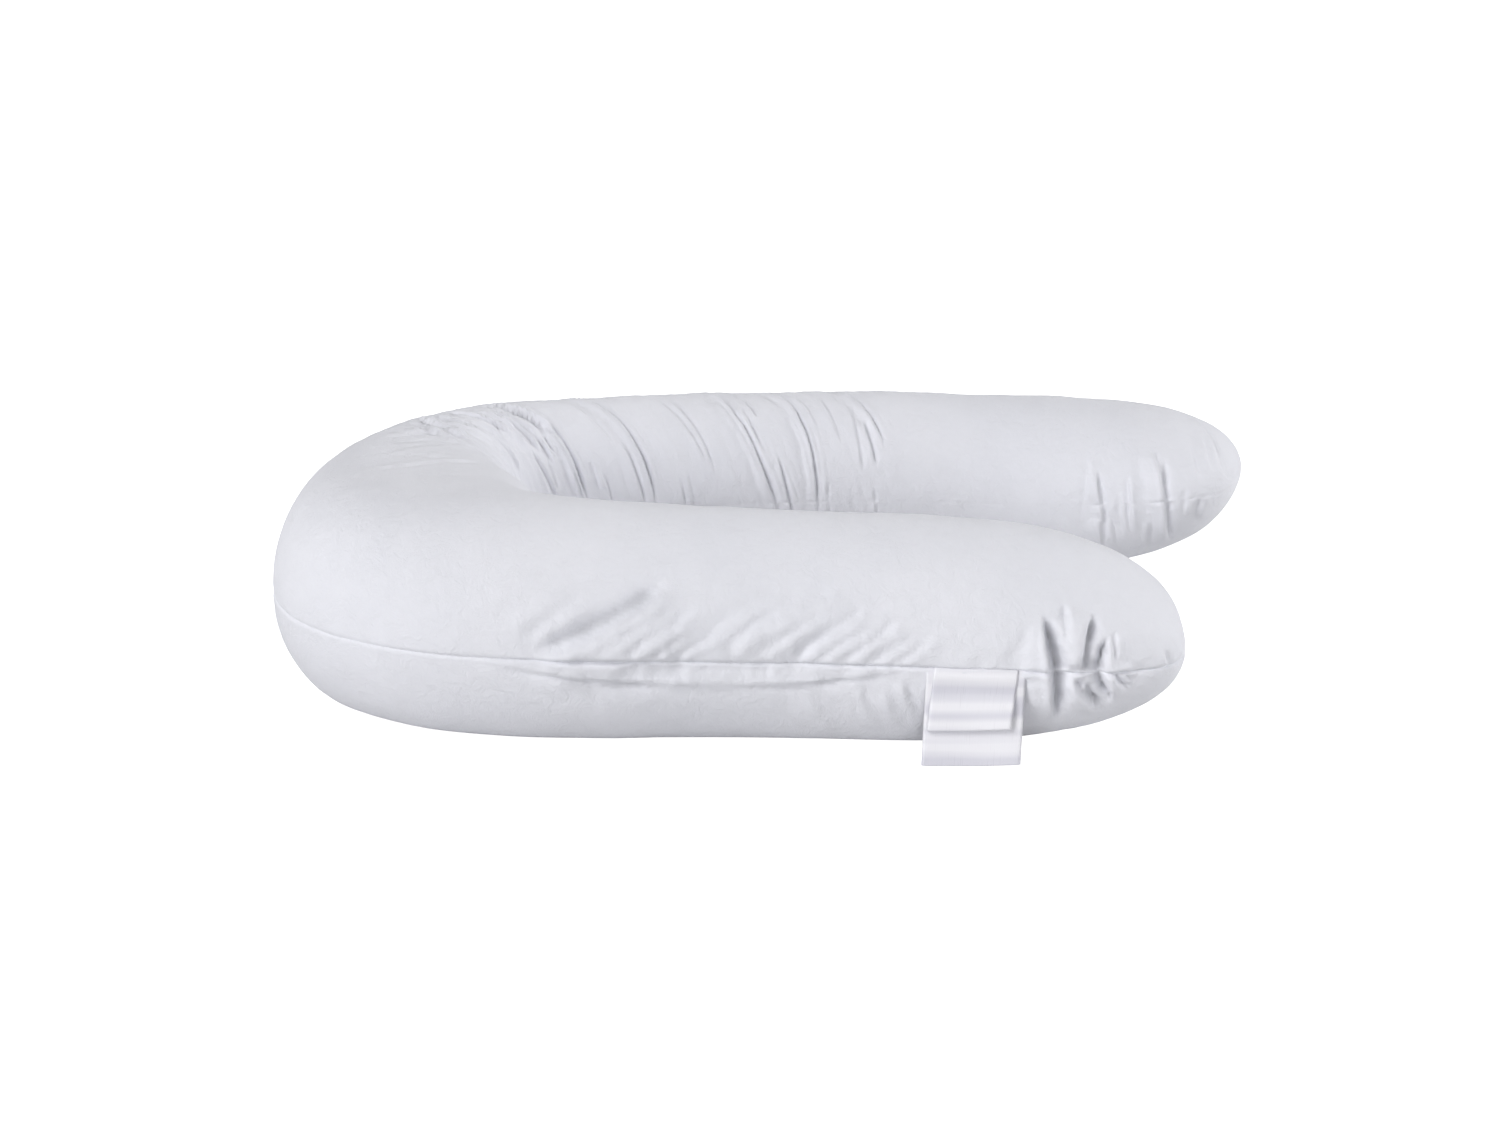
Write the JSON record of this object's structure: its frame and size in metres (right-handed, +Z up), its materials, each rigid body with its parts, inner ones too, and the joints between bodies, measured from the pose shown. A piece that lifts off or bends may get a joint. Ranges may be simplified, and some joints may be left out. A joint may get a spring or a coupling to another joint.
{
  "type": "pregnancy pillow",
  "caption": "Long stuffed U-shaped body pillow in soft white cloth, lying on its side seams, with folded satin labels sewn into the outer seam.",
  "frame": {"origin": "middle of the footprint box, on the surface that the pillow lies on", "axes": "+X from the bend towards the two ends, +Y from the short front leg to the long back leg, +Z up"},
  "size_m": [1.2416, 0.9368, 0.2518],
  "materials": {
    "pillow_cloth": "soft matt white cloth with a very fine weave",
    "label_satin": "white satin ribbon with a low sheen"
  },
  "bodies": {
    "root": {"pillow": "pillow_cloth", "label_long": "label_satin", "label_short": "label_satin"}
  },
  "joints": []
}
